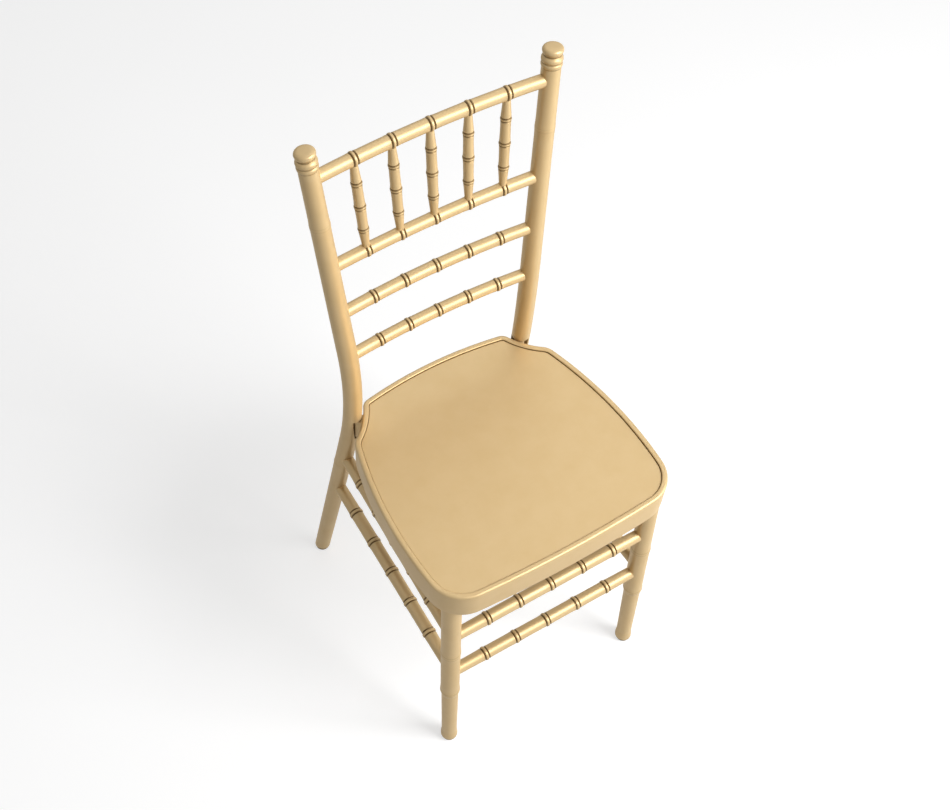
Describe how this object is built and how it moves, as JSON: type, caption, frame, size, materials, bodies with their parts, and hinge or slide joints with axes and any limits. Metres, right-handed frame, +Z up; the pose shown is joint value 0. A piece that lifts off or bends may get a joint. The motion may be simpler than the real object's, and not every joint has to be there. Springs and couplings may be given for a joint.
{
  "type": "chiavari chair",
  "caption": "Banquet chair of turned wood with bamboo-style nodes, knob finials, bowed back rails with spindles, a rounded seat frame with an inset panel and splayed legs tied by stretchers.",
  "frame": {"origin": "on the floor, at the centre of the chair's bounding box seen from above", "axes": "+Z up; the sitter faces -Y; +X is to the right of someone who looks at the front of the chair; the chair mirrors about the plane X = 0"},
  "size_m": [0.3696, 0.4182, 0.9134],
  "materials": {
    "painted_wood": "satin",
    "glide": "matte"
  },
  "bodies": {
    "root": {"seat_frame": "painted_wood", "seat_panel": "painted_wood", "back_post_left": "painted_wood", "back_post_right": "painted_wood", "front_leg_left": "painted_wood", "front_leg_right": "painted_wood", "top_rail": "painted_wood", "spindle_rail": "painted_wood", "upper_back_rail": "painted_wood", "lower_back_rail": "painted_wood", "spindle_1": "painted_wood", "spindle_2": "painted_wood", "spindle_3": "painted_wood", "spindle_4": "painted_wood", "spindle_5": "painted_wood", "front_stretcher_upper": "painted_wood", "front_stretcher_lower": "painted_wood", "side_stretcher_left_upper": "painted_wood", "side_stretcher_left_lower": "painted_wood", "side_stretcher_right_upper": "painted_wood", "side_stretcher_right_lower": "painted_wood", "glide_front_left": "glide", "glide_front_right": "glide", "glide_rear_left": "glide", "glide_rear_right": "glide"}
  },
  "joints": []
}
